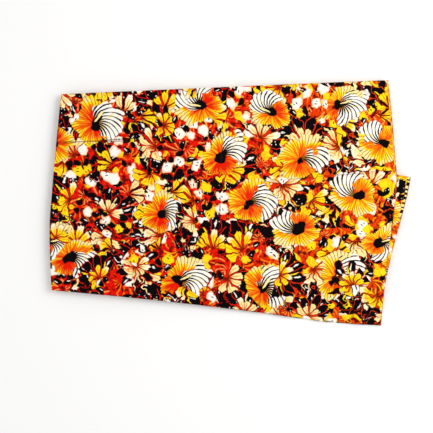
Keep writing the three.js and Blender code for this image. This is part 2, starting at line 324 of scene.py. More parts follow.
def doubled(middle, flat, share, selvedge_creep):
    """Both plies and their centre fold, from the middle of a wall. Rows run from back to
    front, columns from the centre fold at the left to the selvedges at the right. Comes
    back with the places, the flat places, and how far in from the selvedge each lies."""
    normal = surface_normals(middle)
    upper = middle + normal * PLY_OFFSET
    lower = middle - normal * PLY_OFFSET
    lower[:, 1:] = lower[:, 1:] - (middle[:, 1:] - middle[:, :-1]) * selvedge_creep[:, 1:, None]
    out = middle[:, 0] - middle[:, 1]
    out /= np.linalg.norm(out, axis=-1, keepdims=True)
    angles = np.pi * np.arange(1, CENTRE_FOLD_STEPS) / CENTRE_FOLD_STEPS
    round_fold = [np.cos(a) * normal[:, 0] + np.sin(a) * out for a in angles]
    fold = np.stack([middle[:, 0] + PLY_OFFSET * way for way in round_fold], 1)
    fold_flat = np.stack([flat[:, 0] - np.array((PLY_OFFSET * a, 0)) for a in angles], 1)
    under_flat = flat.copy()
    under_flat[..., 0] = 2 * flat[:, :1, 0] - PLY_OFFSET * np.pi - flat[..., 0]
    places = np.concatenate([upper[:, ::-1], fold, lower], axis=1)
    flats = np.concatenate([flat[:, ::-1], fold_flat, under_flat], axis=1)
    inward = (1 - share) * HALF_WIDTH
    inward = np.concatenate([inward[::-1], np.full(fold.shape[1], HALF_WIDTH), inward])
    margins = np.stack([np.broadcast_to(inward, flats.shape[:2]), flats[..., 1]], -1)
    return places, flats, margins


def grid_form(places, maps, closed=False):
    """A flat grid, each point moved to its place, with its maps. A closed one has one more
    column of points, which lies on the first."""
    rows, columns = places.shape[:2]
    steps = columns if closed else columns - 1
    form = bmesh.new()
    bmesh.ops.create_grid(form, x_segments=steps, y_segments=rows - 1, size=0.5)
    for name in maps:
        form.loops.layers.uv.new(name)
    for point in form.verts:
        column = round((point.co.x + 0.5) * steps) % columns
        row = round((point.co.y + 0.5) * (rows - 1))
        point.co = places[row, column]
        point.index = row * columns + column
    layers = [(form.loops.layers.uv[name], flat.reshape(-1, 2)) for name, flat in maps.items()]
    for face in form.faces:
        face.smooth = True
        for loop in face.loops:
            for layer, flat in layers:
                loop[layer].uv = flat[loop.vert.index]
    return form


def cut_area(flats):
    """Flat area of a cut sheet, summed over its grid."""
    a = flats[1:, 1:] - flats[:-1, :-1]
    b = flats[1:, :-1] - flats[:-1, 1:]
    return float(np.abs(a[..., 0] * b[..., 1] - a[..., 1] * b[..., 0]).sum() / 2)


def folded_sheet(name, middle, flat, share, creep):
    """A flat grid of cloth, moved point by point to its folded place, and its cut area. The
    selvedge of its lower ply creeps back a little."""
    at_selvedge = smooth((share - CREEP_FROM) / (1 - CREEP_FROM))
    places, flats, margins = doubled(middle, flat, share, creep * at_selvedge[None, :])
    rows, columns = places.shape[:2]
    sheet = in_scene(name, grid_form(places, {"cut": flats, "margin": margins}))
    ply = sheet.modifiers.new("ply", "SOLIDIFY")
    ply.thickness = PLY
    ply.offset = 0
    triangles = 4 * (rows - 1) * (columns - 1)
    print(f"{name}: {rows} x {columns} points, about {triangles} triangles with its thickness")
    return sheet, cut_area(flats)


# %% [markdown]
# ## The top panel
# This stretch starts 6 mm under its own back fold, goes round it, runs forward over the
# whole bundle, and turns under at the skewed front fold. The grid is close in the folds,
# where the cloth bends within 2 mm, and wider over the level part.

# %% Top panel
PANEL_COLUMNS = 150
PANEL_ROWS = 88
FOLD_STEPS = 8
RETURN_STEPS = 3
CUT_END_LEFT, CUT_END_RIGHT = 0.06, 0.394
MARKS_FADE_IN, CUT_END_CLEAR, SETTLE_RUN = 14 * MM, 2 * MM, 16 * MM
SETTLED_GAP = 0.2 * MM


def fold_stations(steps):
    centre = TUCKED_LEVEL + FOLD_RADIUS
    angles = np.pi * (0.5 - np.linspace(0, 1, steps + 1))
    inward = FOLD_REACH - FOLD_RADIUS * np.cos(angles)
    level = centre + FOLD_RADIUS * np.sin(angles)
    returns = np.linspace(0, RETURN_LENGTH, RETURN_STEPS + 1)[1:]
    flat = FOLD_RADIUS * np.pi * np.linspace(0, 1, steps + 1)
    return (
        np.concatenate([inward, FOLD_REACH + returns]),
        np.concatenate([level, np.full(RETURN_STEPS, TUCKED_LEVEL)]),
        np.concatenate([flat, FOLD_RADIUS * np.pi + returns]),
    )


def cut_end_at(u):
    """Share of the panel's depth where the tucked end starts."""
    return CUT_END_LEFT + (CUT_END_RIGHT - CUT_END_LEFT) * u


def fold_row(u, inward, level, turned, at_front):
    """One row of a fold: its places and its flat places on the cut cloth."""
    share = inward / PANEL.depth(u)
    place = PANEL.at(u, 1 - share if at_front else share)
    edge = PANEL.at(u, np.full_like(u, 1.0 if at_front else 0.0))
    past_edge = turned - FOLD_REACH
    flat = edge + np.array((0, -past_edge if at_front else past_edge))
    return np.concatenate([place, (level - sunk(place))[:, None]], axis=1), flat


def level_row(u, v):
    """One row of the open panel, with its marks and its step behind the tucked end."""
    place = PANEL.at(u, np.full_like(u, v))
    depth = PANEL.depth(u)
    height = TUCKED_LEVEL + TURN_RISE - sunk(place)
    clear_of_folds = np.minimum(v, 1 - v) * depth - FOLD_REACH
    height = height + marks(place) * smooth(clear_of_folds / MARKS_FADE_IN)
    behind_end = smooth(((cut_end_at(u) - v) * depth - CUT_END_CLEAR) / SETTLE_RUN)
    past_back_fold = smooth((v * depth - FOLD_REACH - RETURN_LENGTH) / SETTLE_RUN)
    height = height - behind_end * past_back_fold * (TURN_RISE - SETTLED_GAP)
    return np.concatenate([place, height[:, None]], axis=1), place


u = np.linspace(0, 1, PANEL_COLUMNS)
stations = list(zip(*fold_stations(FOLD_STEPS)))
panel_rows = [fold_row(u, *station, at_front=False) for station in reversed(stations)]
panel_rows += [level_row(u, v) for v in np.linspace(0, 1, PANEL_ROWS)[1:-1]]
panel_rows += [fold_row(u, *station, at_front=True) for station in stations]
panel_middle = np.stack([row[0] for row in panel_rows])
panel_flat = np.stack([row[1] for row in panel_rows])
creep = 0.35 + 0.3 * np.sin(panel_flat[..., 1] * 31) + 0.2 * np.sin(panel_flat[..., 1] * 83 + 1)
top_panel_cloth, panel_area = folded_sheet("top_panel_cloth", panel_middle, panel_flat, u, creep)
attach(top_panel_cloth, "root")
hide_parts("top_panel")
print(f"top panel: {panel_area:.3f} m2 of cloth in both plies")

# %% [markdown]
# ## The tucked end
# The last stretch of the cloth turns under at the front fold and stops short. Because the
# fold is askew, this end lies turned by twice the fold's angle, and its corner comes out
# at the right. Mirroring the flat places about the fold line carries the print round it.

# %% Tucked end
END_COLUMNS = 120
END_ROWS = 64
CUT_END_JUT, JUT_ENDS, DRAWN_IN, SIDE_FROM = 25 * MM, 0.87, 2.5 * MM, 0.86
LEFT_AT_CUT, LEFT_AT_FOLD = 0.08, 0.015
END_CLEAR = 0.5 * MM


def jut_at(v):
    """How far the end comes out past the panel's right edge."""
    to_cut_end = np.clip((JUT_ENDS - v) / (JUT_ENDS - CUT_END_RIGHT), 0, 1)
    drawn = -DRAWN_IN * smooth((v - JUT_ENDS) / (1 - JUT_ENDS))
    return np.where(v > JUT_ENDS, drawn, CUT_END_JUT * to_cut_end**1.25)


end_u = np.linspace(0, 1, END_COLUMNS)
end_start = cut_end_at(end_u)
end_stop = 1 - (FOLD_REACH + RETURN_LENGTH + GAP + END_CLEAR) / PANEL.depth(end_u)
middle_rows = []
for share in np.linspace(0, 1, END_ROWS):
    v = end_start + share * (end_stop - end_start)
    left = LEFT_AT_CUT + (LEFT_AT_FOLD - LEFT_AT_CUT) * v
    place = PANEL.at(np.maximum(end_u, left * (1 - end_u) + end_u**2), v)
    out = np.maximum(0, (end_u - SIDE_FROM) / (1 - SIDE_FROM))
    place[:, 0] += out * jut_at(v)
    height = TUCKED_LEVEL - sunk(place)
    middle_rows.append(np.concatenate([place, height[:, None]], axis=1))
end_middle = np.stack(middle_rows)

fold_start, fold_end = PANEL.front.at(0.0), PANEL.front.at(1.0)
fold_way = (fold_end - fold_start) / np.linalg.norm(fold_end - fold_start)
relative = end_middle[..., :2] - fold_start
along_fold = (relative @ fold_way)[..., None] * fold_way
end_flat = fold_start + 2 * along_fold - relative
creep = 0.3 + 0.3 * np.sin(end_flat[..., 1] * 47) + 0.2 * np.sin(end_flat[..., 1] * 101)
tucked_end_cloth, end_area = folded_sheet("tucked_end_cloth", end_middle, end_flat, end_u, creep)
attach(tucked_end_cloth, "root")
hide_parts("tucked_end")
print(f"tucked end: {end_area:.3f} m2 of cloth in both plies")

# %% [markdown]
# ## The hidden turns
# Fourteen turns of doubled cloth can't be seen from above, but their edges tell how the
# cloth was folded. At the left each turn ends in one round centre fold. At the right it
# ends in two thin selvedges. At the front and back each fold wraps two turns, and the pairs
# there are one turn apart. One closed form does it: the outline is extruded ring by ring,
# and each ring is drawn in or out by the roundness of the fold at its height.

# %% Outline of the turns
CORNER_CUT = 6 * MM
CORNER_STEPS = 6
SIDES = [  # edge, points along it, height of one fold in turns, first fold's start
    (STACK_BACK, 110, 2.0, -1.0),
    (STACK_RIGHT, 70, 0.5, 0.0),
    (STACK_FRONT, 110, 2.0, 0.0),
    (STACK_LEFT, 70, 1.0, 0.0),
]
CUT_SIDE = 1
outline, side_share, reach_along = [], [], []
for side, (edge, count, *_) in enumerate(SIDES):
    following = (side + 1) % len(SIDES)
    after = SIDES[following][0]
    for share in np.linspace(CORNER_CUT, edge.length - CORNER_CUT, count) / edge.length:
        outline.append(edge.at(share))
        side_share.append(np.eye(len(SIDES))[side])
        reach_along.append(share * edge.length)
    start, tip = edge.at(1 - CORNER_CUT / edge.length), edge.at(1.0)
    end = after.at(CORNER_CUT / after.length)
    for t in np.linspace(0, 1, CORNER_STEPS + 2)[1:-1]:
        outline.append((1 - t) ** 2 * start + 2 * t * (1 - t) * tip + t**2 * end)
        side_share.append((1 - t) * np.eye(len(SIDES))[side] + t * np.eye(len(SIDES))[following])
        reach_along.append(edge.length * (1 - t))
outline, side_share = np.array(outline), np.array(side_share)
reach_along = np.array(reach_along)
way = np.roll(outline, -1, axis=0) - np.roll(outline, 1, axis=0)
way /= np.linalg.norm(way, axis=1, keepdims=True)
inwards = np.stack([way[:, 1], -way[:, 0]], -1)
print(f"outline of the turns: {len(outline)} points")

# %% Rings of the turns
RING_SHARES = (0.0, 0.08, 0.25, 0.5, 0.75, 0.92)  # of one ply
GROOVE = 1.05 * MM
STRAY = 1.5 * MM
SAG = 0.22 * MM


def chance_of(number, side):
    own = np.sin(12.9898 * number + 4.1 * side) * 43758.5453
    return own - np.floor(own)


def stray(number, side, along):
    """How far one fold lies in from the outline: its own amount, and a slow wander."""
    own = chance_of(number, side)
    wander = np.sin(along * 9 + 7 * own) + 0.6 * np.sin(along * 23 + 17 * own)
    return np.maximum(0, STRAY * (0.9 * own + 0.3 * wander + 0.25))


def fold_at(height, side):
    """Which fold of a side a height lies in, and its share of that fold's height."""
    fold_height, first = SIDES[side][2:]
    turns_up = (height / TURN_THICKNESS - first) / fold_height
    number = np.floor(turns_up + 1e-6)
    return number, max(0.0, turns_up - number)


def inset_at(height):
    """How far in the ring at a height lies, point by point round the outline."""
    inset = np.zeros(len(outline))
    for side in range(len(SIDES)):
        number, share = fold_at(height, side)
        off_middle = abs(2 * share - 1)
        if side == CUT_SIDE:
            round_in = off_middle**8
        else:
            round_in = 1 - np.sqrt(1 - min(off_middle, 1) ** 2)
        inset += side_share[:, side] * (stray(number, side, reach_along) + GROOVE * round_in)
    return inset


def ring_places(height):
    place = outline + inwards * inset_at(height)[:, None]
    sag = SAG * np.sin(np.pi * height / STACK_TOP) * np.sin(reach_along * 19 + 3)
    return np.concatenate([place, (height + sag)[:, None]], axis=1)


def ring_maps(height, place):
    """Where on the printed cloth each point of a ring lies: every fold shows its own strip.
    The cut side also shows a different part of the margin at each ply."""
    side_of = np.argmax(side_share, axis=1)
    cut, margin = np.zeros((len(outline), 2)), np.zeros((len(outline), 2))
    for side in range(len(SIDES)):
        number, share = fold_at(np.clip(height, 0, STACK_TOP * 0.9999), side)
        here = side_of == side
        shift = np.array((0.137 * number + 0.05 * side, 0.231 * number + 0.003 * share))
        cut[here] = place[here, :2] + shift * (height > 0)
        inward = 0.0005 + 0.005 * chance_of(number, side) if side == CUT_SIDE else HALF_WIDTH
        margin[here, 0] = inward
        margin[here, 1] = 0.2 + 0.5 * chance_of(number, 2) + place[here, 1]
    return cut, margin


plies = np.arange(2 * TURNS)[:, None] + np.array(RING_SHARES)[None, :]
heights = np.append(plies.ravel() / (2 * TURNS), 1.0) * STACK_TOP
ring_grid = np.stack([ring_places(h) for h in heights])
ring_cuts, ring_margins = zip(*[ring_maps(h, r) for h, r in zip(heights, ring_grid)])
ring_uvs = {"cut": np.stack(ring_cuts), "margin": np.stack(ring_margins)}
turns_form = grid_form(ring_grid, ring_uvs, closed=True)
bmesh.ops.remove_doubles(turns_form, verts=turns_form.verts, dist=1e-6)
open_edges = [e for e in turns_form.edges if e.is_boundary]
caps = bmesh.ops.holes_fill(turns_form, edges=open_edges, sides=0)["faces"]
cut_map, margin_map = (turns_form.loops.layers.uv[name] for name in ring_uvs)
for cap in caps:
    for loop in cap.loops:
        loop[cut_map].uv = loop.vert.co.xy
        loop[margin_map].uv = (HALF_WIDTH, loop.vert.co.y)
bmesh.ops.recalc_face_normals(turns_form, faces=turns_form.faces)
hidden_turns = in_scene("hidden_turns", turns_form)
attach(hidden_turns, "root")
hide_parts("hidden_layers")
print(f"hidden turns: {len(heights)} rings, {len(caps)} caps")

# %% [markdown]
# ## Amounts and the nodes behind them
# The print is worked out by nodes, as sums on the cloth's own flat places. An amount is what
# one socket gives at every place. The usual signs join amounts, and each sign adds a node of
# its own, so a drawing reads like a recipe. Among masks, & keeps what two of them share, |
# takes both, and ~ turns one inside out.

# %% Amounts
def sign_of(operation, swapped=False):
    """A sign between amounts, which adds one node to their workings."""

    def sign(self, *others):
        values = (*others, self) if swapped else (self, *others)
        return self.workings.number(operation, *values)

    return sign


class Amount:
    """What one socket gives at every place of the cloth."""

    def __init__(self, workings, socket):
        self.workings, self.socket = workings, socket

    __add__ = __radd__ = sign_of("ADD")
    __sub__, __rsub__ = sign_of("SUBTRACT"), sign_of("SUBTRACT", swapped=True)
    __mul__ = __rmul__ = __and__ = sign_of("MULTIPLY")
    __truediv__ = sign_of("DIVIDE")
    __or__ = sign_of("MAXIMUM")
    __lt__, __gt__ = sign_of("LESS_THAN"), sign_of("GREATER_THAN")
    __abs__, __round__ = sign_of("ABSOLUTE"), sign_of("ROUND")
    sine, cosine = sign_of("SINE"), sign_of("COSINE")
    fraction, zigzag = sign_of("FRACT"), sign_of("PINGPONG")

    def __invert__(self):
        return 1.0 - self


# %% Workings
WHOLE_TURN = 6.28


class Workings:
    """Adds nodes to one node tree and joins them."""

    def __init__(self, tree):
        self.tree = tree

    def feed(self, socket, value):
        if isinstance(value, Amount):
            self.tree.links.new(value.socket, socket)
        else:
            socket.default_value = value

    def node(self, kind, values, out=0, **settings):
        """Adds one node. Its values are named by socket, or come in the sockets' order."""
        node = self.tree.nodes.new("ShaderNode" + kind)
        for name, setting in settings.items():
            setattr(node, name, setting)
        for key, value in values.items() if isinstance(values, dict) else enumerate(values):
            self.feed(node.inputs[key], value)
        if isinstance(out, tuple):
            return [Amount(self, node.outputs[one]) for one in out]
        return Amount(self, node.outputs[out])

    def number(self, operation, *values):
        return self.node("Math", values, operation=operation)

    def vector(self, operation, *values):
        measured = operation in ("LENGTH", "DISTANCE", "DOT_PRODUCT")
        out = "Value" if measured else "Vector"
        return self.node("VectorMath", values, out=out, operation=operation)

    def scaled(self, vector, factor):
        return self.node("VectorMath", {0: vector, "Scale": factor}, operation="SCALE")

    def parts(self, vector):
        return self.node("SeparateXYZ", (vector,), out=(0, 1, 2))

    def join(self, x, y, z=0.0):
        return self.node("CombineXYZ", (x, y, z))

    def grade(self, value, start, end, low=0.0, high=1.0):
        """Runs smoothly from low to high while the value runs from start to end."""
        values = (value, start, end, low, high)
        return self.node("MapRange", values, interpolation_type="SMOOTHSTEP")

    def paint(self, color, *coats):
        """Lays coats of dye over a color in turn, each through its own mask."""
        for mask, coat in coats:
            layers = {0: mask, 6: color, 7: coat}
            color = self.node("Mix", layers, out=2, data_type="RGBA")
        return color

    def laid_over(self, color, spot):
        return self.paint(color, (spot["Mask"], spot["Color"]))

    def turn(self, vector, angle):
        values = {"Vector": vector, "Angle": angle}
        return self.node("VectorRotate", values, rotation_type="Z_AXIS")

    def cloud(self, place, per_metre, detail=2.0):
        values = {"Vector": place, "Scale": per_metre, "Detail": detail}
        return self.node("TexNoise", values, out="Fac", noise_dimensions="2D")

    def cells(self, place, spacing, looseness):
        """Where the nearest of many scattered points is, and its three chances."""
        values = {"Vector": place, "Scale": 1 / spacing, "Randomness": looseness}
        outs = ("Position", "Color")
        middle, chances = self.node("TexVoronoi", values, out=outs, voronoi_dimensions="2D")
        return middle, self.parts(chances)

    def scattered(self, place, spacing, radius, looseness):
        """The place as seen from the nearest scattered point, in its radius and turn."""
        middle, chances = self.cells(place, spacing, looseness)
        local = self.scaled(self.vector("SUBTRACT", place, middle), 1 / radius)
        return self.turn(local, chances[0] * WHOLE_TURN), middle, chances

    def polar(self, place):
        x, y, _ = self.parts(place)
        return self.vector("LENGTH", place), self.number("ARCTAN2", y, x)

    def spokes(self, angle, count, width):
        """1 on evenly spaced spokes round a centre, 0 between them."""
        wave = (angle * (count / (2 * np.pi))).zigzag(0.5)
        return self.grade(wave, width - 0.03, width + 0.03, 1, 0)

    def oval(self, x, y, middle, size, soft=0.08):
        """1 inside an oval, 0 outside it."""
        across, along = (x - middle[0]) / size[0], (y - middle[1]) / size[1]
        reach = self.vector("LENGTH", self.join(across, along))
        return self.grade(reach, 1 - soft, 1 + soft, 1, 0)

    def placed(self, tree, *values):
        """Puts a finished group into this tree: what it gives, by name."""
        sockets = tree.interface.items_tree
        names = tuple(socket.name for socket in sockets if socket.in_out == "OUTPUT")
        return dict(zip(names, self.node("Group", values, out=names, node_tree=tree)))

    def finished(self, *values):
        leave = self.tree.nodes.new("NodeGroupOutput")
        for socket, value in zip(leave.inputs, values):
            self.feed(socket, value)
        return self.tree


# %% [markdown]
# ## Groups and dyes
# Each motif is a node group of its own, so that every finish can use it. A group has named
# inputs and outputs, and most of them are plain numbers. The dyes are the few that wax
# print is made with, given as screen colours and turned into amounts of light.

# %% Groups and dyes
SOCKET_KINDS = {"Place": "Vector", "Local": "Vector", "Margin": "Vector", "Color": "Color"}


def new_group(name, inputs, outputs):
    """An empty node group: its workings, and the amounts that it is given."""
    group = bpy.data.node_groups.new(name, "ShaderNodeTree")
    for way, labels in (("INPUT", inputs), ("OUTPUT", outputs)):
        for label in labels:
            kind = "NodeSocket" + SOCKET_KINDS.get(label, "Float")
            group.interface.new_socket(label, in_out=way, socket_type=kind)
    workings = Workings(group)
    entry = group.nodes.new("NodeGroupInput")
    return workings, [Amount(workings, entry.outputs[label]) for label in inputs]


def dye(red, green, blue):
    share = np.array((red, green, blue)) / 255
    light = np.where(share <= 0.04045, share / 12.92, ((share + 0.055) / 1.055) ** 2.4)
    return (*[float(x) for x in light], 1.0)


BLACK = dye(9, 4, 7)
WHITE = dye(252, 247, 236)
CREAM = dye(255, 232, 158)
YELLOW = dye(255, 220, 22)
AMBER = dye(250, 164, 20)
ORANGE = dye(246, 118, 14)
SALMON = dye(254, 140, 66)
SCARLET = dye(218, 50, 4)
RED = dye(232, 20, 3)
DARK_RED = dye(112, 6, 4)
BROWN = dye(150, 50, 10)
# The dark colour of the painted shade along the folds.
FOLD_SHADE_DARK = dye(38, 10, 8)

# %% [markdown]
# ## The chart of the large flowers
# A printed cloth repeats. One repeat of this one is 580 mm across and 420 mm along, and its
# large round flowers stand in a loose scatter. Each row of the chart gives a flower's
# middle, its radius and its turn. The nodes wrap the cloth's places into one repeat, find
# which flower is nearest for its size, and pass on the place as seen from that flower.

# %% Flower chart
REPEAT = (0.580, 0.420)
FLOWERS = [  # across, along, radius in mm, turn in degrees
    (-236, 146, 44, 310), (-276, -92, 43, 340), (-118, -14, 41, 325), (-56, 170, 41, 190),
    (-14, 88, 45, 300), (-84, -132, 44, 335), (36, 6, 42, 315), (66, 160, 40, 205),
    (126, 82, 44, 330), (112, -48, 43, 170), (196, 176, 42, 345), (214, 12, 44, 195),
    (188, -124, 44, 320), (58, -146, 42, 305), (268, -66, 40, 350), (262, 104, 40, 185),
]
chart, (place,) = new_group("flower_chart", ["Place"], ["Local", "Chance"])
half_repeat = (REPEAT[0] / 2, REPEAT[1] / 2, 1.0)
nearest, carried = None, None
for across, along, radius, turned_by in FLOWERS:
    away = chart.vector("SUBTRACT", place, (across * MM, along * MM, 0))
    away = chart.vector("WRAP", away, half_repeat, tuple(-x for x in half_repeat))
    local = chart.scaled(away, 1 / (radius * MM))
    reach = chart.vector("LENGTH", local)
    local = chart.vector("ADD", local, (0, 0, float(np.radians(turned_by))))
    if nearest is None:
        nearest, carried = reach, local
        continue
    choice = {0: reach < nearest, 4: carried, 5: local}
    carried = chart.node("Mix", choice, out=1, data_type="VECTOR")
    nearest = chart.number("MINIMUM", nearest, reach)
local_x, local_y, local_turn = chart.parts(carried)
local = chart.turn(chart.join(local_x, local_y), local_turn)
flower_chart = chart.finished(local, (local_turn * 7.13).fraction())
print(f"{len(FLOWERS)} large flowers in a repeat of {REPEAT[0]:.2f} x {REPEAT[1]:.2f} m")

# %% [markdown]
# ## Drawing a large flower
# A flower has a nearly black eye. On one side of it the petals are white with bold black
# lines that swirl outwards, and reach a little further. On the other they run from red
# through orange to yellow and cream, under fine dark lines. Polar places, the reach from the
# eye and the angle round it, make all of that a few spokes and rings. Its chance gives each
# flower its own lean and its own share of white, and about half of them have a throat and a
# pale stamen.

# %% Flower drawing
BOLD_LINES, FINE_LINES = 25, 42
EYE_OFF_MIDDLE = (0.16, 0.06, 0)
flower, (local, chance, wander, yellow_drift_and_light) = new_group(
    "flower_drawing", ["Local", "Chance", "Wander", "Yellow drift and light"], ["Color", "Mask"]
)
leaning = (chance * 5.3).fraction()
local_x, local_y, _ = flower.parts(local)
local = flower.join(local_x, local_y * (0.98 + leaning * 0.34))
eye_view = flower.vector("ADD", local, EYE_OFF_MIDDLE)
reach, angle = flower.polar(eye_view)
outer_reach = flower.vector("LENGTH", local)
swirled = flower.number("WRAP", angle + reach * 0.95, np.pi, -np.pi)
swept = angle - reach * 0.25

# %% Its white side
half_white = 0.6 + chance * 0.85 + wander * 1.6
white_side = flower.grade(abs(swirled), half_white + 0.05, half_white - 0.05)
line_width = flower.grade(reach, 0.1, 0.8, 0.45, 0.13) + wander * 0.3
bold_lines = flower.spokes(swirled, BOLD_LINES, line_width)
bold_lines = bold_lines & flower.grade(outer_reach, 1.12, 1.0)
streaks = flower.cloud(flower.join(angle * 2.2, reach, chance), 1.7, 2)
cool = flower.paint(
    AMBER,
    (flower.grade(reach, 0.2, 0.46), WHITE),
    (flower.grade(streaks, 0.6, 0.7) * 0.7, YELLOW),
    (bold_lines, BLACK),
)

# %% Its warm side
one_sided = (angle + leaning * 2.4).cosine()
# Towards the brighter side the warm petals run yellower: partly print, partly painted light.
mottled = reach + (streaks - 0.5) * 1.3 - one_sided * 0.2 + yellow_drift_and_light * 0.22 - 0.2
fine_lines = flower.spokes(swept, FINE_LINES, flower.grade(reach, 0.3, 1.0, 0.2, 0.1))
fine_lines = fine_lines & flower.grade(reach, 0.25, 0.6, 0.3, 0.85)
fine_color = flower.paint(SCARLET, (flower.grade(mottled, 0.55, 0.95), BROWN))
warm = flower.paint(
    RED,
    (flower.grade(mottled, 0.06, 0.36), ORANGE),
    (flower.grade(mottled, 0.38, 0.56), AMBER),
    (flower.grade(mottled, 0.52, 0.72), YELLOW),
    (flower.grade(mottled, 0.8, 1.02, 0, 0.95), CREAM),
    (fine_lines, fine_color),
)

# %% Its rim and its eye
def by_side(on_warm, on_white):
    """A measure that differs between the flower's two sides."""
    return flower.grade(white_side, 0, 1, on_warm, on_white)


scallop = abs((swirled * (BOLD_LINES / 2)).sine())
notches = abs((swept * (FINE_LINES / 2)).sine())
uneven = flower.cloud(flower.vector("ADD", local, flower.join(chance, chance)), 1.3, 1)
rim = by_side(0.84, 1.0) + scallop * by_side(0.05, 0.12) + notches * by_side(0.045, 0.0)
past_rim = outer_reach - (rim + (uneven - 0.5) * 0.85 + wander * 0.4)
mask = flower.grade(past_rim, -0.012, 0.012, 1, 0)
rim_line = flower.grade(past_rim, -0.05, -0.025) & by_side(0.25, 0.95)
eye_size = 0.175 + wander * 0.7 + leaning * 0.07
eye = flower.grade(reach - eye_size, -0.025, 0.025, 1, 0)
eye_x, eye_y, _ = flower.parts(eye_view)
has_throat = chance > 0.5
throat = flower.oval(eye_x, eye_y, middle=(0.16, 0.0), size=(0.3, 0.12)) & has_throat
stamen = flower.oval(eye_x, eye_y, middle=(0.34, 0.04), size=(0.28, 0.045)) & has_throat
color = flower.paint(
    warm, (white_side, cool), (rim_line, DARK_RED), (eye | throat, BLACK), (stamen, CREAM)
)
flower_drawing = flower.finished(color, mask)

# %% [markdown]
# ## Drawing a daisy
# Between the large flowers lie half-open daisies. Each is a fan of broad petals that pale
# from a red heart to yellow or cream. Black lobes stand beyond the petals and between them,
# with a thin red gap round each tip, and slivers, glints and dots of pale cloth on the black.
# One petal is drawn, and the angle is folded so that it repeats, each time with its own
# chance, which tilts it, makes it longer or shorter, and decides what shows on its lobe.

# %% Daisy drawing
PETAL_STEP = 2 * np.pi / 9.5
daisy, (local, chance, wander) = new_group(
    "daisy_drawing", ["Local", "Chance", "Wander"], ["Color", "Mask"]
)
reach, angle = daisy.polar(local)
angle = angle + wander * 0.7


def petal_view(shift, step=PETAL_STEP):
    """The place seen from the middle line of the nearest petal, and the petal's number."""
    steps = angle / step + shift
    off = (steps - round(steps)) * step
    return reach * off.cosine(), reach * off.sine(), round(steps)


along, across, petal_number = petal_view(0.0)
*between_view, _ = petal_view(0.5)
sliver_along, sliver_across, sliver_number = petal_view(0.5, PETAL_STEP / 2)
own = ((petal_number * 12.9 + chance * 40).sine() * 437.5).fraction()
sliver_chance = ((sliver_number * 7.7 + chance * 31).sine() * 91.7).fraction()
fan_chance = (chance * 17.7).fraction()
fan_half = (round(fan_chance * 1.7) + 1.5) * PETAL_STEP
fan = daisy.grade(abs(angle), fan_half + 0.03, fan_half)
across = along * ((own - 0.5) * 0.2) + across
longer = along / (own * 0.34 + 0.74)

# %% Its petals
saw = (across * 70).sine() * 0.018
past_tip = longer - (0.67 - across * across * 5.0 + saw)
past_side = abs(across) - daisy.grade(along, 0.04, 0.5, 0.012, 0.124)
past_petal = past_tip | past_side
petal = daisy.grade(past_petal, -0.022, -0.006, 1, 0)
outlined = daisy.grade(past_petal, 0.004, 0.02, 1, 0)
vein = daisy.oval(along, across, middle=(0.28, 0.0), size=(0.24, 0.018), soft=0.3)
whiter = daisy.grade(along, 0.4, 0.62) & (own > 0.6)
pale = daisy.paint(YELLOW, (chance > 0.52, CREAM))
warm = daisy.paint(
    RED,
    (daisy.grade(along, 0.04, 0.16), ORANGE),
    (daisy.grade(along, 0.1, 0.3), pale),
    (whiter * 0.7, WHITE),
    (vein * 0.8, ORANGE),
)

# %% Its lobes and glints
heart = daisy.grade(reach, 0.44, 0.5, 1, 0)
tip = daisy.oval(longer, across, middle=(0.84, 0.0), size=(0.365, 0.172), soft=0.05)
tip_gap = daisy.oval(longer, across, middle=(0.84, 0.0), size=(0.395, 0.2), soft=0.05)
between = daisy.oval(*between_view, middle=(0.7, 0.0), size=(0.4, 0.17), soft=0.06)
between = between & (fan_chance < 0.88)
glint = daisy.oval(longer, across, middle=(0.84, 0.04), size=(0.12, 0.036), soft=0.3)
glint = glint & (own > 0.65)
dots = daisy.oval(longer, across, middle=(0.7, -0.08), size=(0.035, 0.025), soft=0.4)
dots = dots & (own < 0.3)
sliver_out = sliver_along - (sliver_chance * 0.16 + 0.64)
sliver = daisy.oval(sliver_out, sliver_across, middle=(0, 0), size=(0.15, 0.03), soft=0.2)
sliver = sliver & (sliver_chance < 0.22)
between_glint = daisy.oval(*between_view, middle=(0.82, -0.03), size=(0.07, 0.022), soft=0.35)
between_glint = between_glint & (sliver_chance > 0.7)
color = daisy.paint(
    BLACK,
    (tip_gap, RED),
    (tip, BLACK),
    (heart, RED),
    (heart & (fan_chance < 0.4), BLACK),
    (sliver & ~heart, pale),
    (between_glint & ~heart, WHITE),
    (outlined, DARK_RED),
    (petal, warm),
    ((glint | dots) & ~outlined, WHITE),
)
backing = (tip_gap | between) & (chance > 0.12)
daisy_drawing = daisy.finished(color, fan & (backing | outlined | heart))

# %% [markdown]
# ## Drawing the small motifs and the ground
# White and yellow blossoms with a few black ticks fill the gaps, on a red ground of short
# brush strokes that fan out in tufts. Small black leaves lie between them, in clusters. All
# of them use scattered points in place of a chart: each point's three chances decide its
# turn, its dye and whether it is printed at all. Towards one selvedge the print grows
# yellower and loses some of its leaves. The yellower wash there is partly print and partly
# painted light, a side made to look more brightly lit.

# %% Blossom drawing
BLOSSOM_SPACING, BLOSSOM_RADIUS, BLOSSOM_SHARE = 26 * MM, 13.5 * MM, 0.54
blossom, (place, wander) = new_group("blossom_drawing", ["Place", "Wander"], ["Color", "Mask"])
local, _, (turn_chance, dye_chance, print_chance) = blossom.scattered(
    place, BLOSSOM_SPACING, BLOSSOM_RADIUS, looseness=0.95
)
reach, angle = blossom.polar(local)
past_rim = reach - (0.6 + (angle * 5).cosine() * 0.05 + wander * 1.3 + dye_chance * 0.16)
mask = blossom.grade(past_rim, -0.04, 0.04, 1, 0) & (print_chance < BLOSSOM_SHARE)
cut_x = blossom.parts(place)[0]
yellow_share = blossom.grade(cut_x, -0.1, 0.26, 0.28, 0.42)
x, y, _ = blossom.parts(local)
tick_wave = ((x + y * y * 1.5) * 2.6).zigzag(0.5)
ticks = blossom.oval(x, y, middle=(0.08, 0.1), size=(0.36, 0.17))
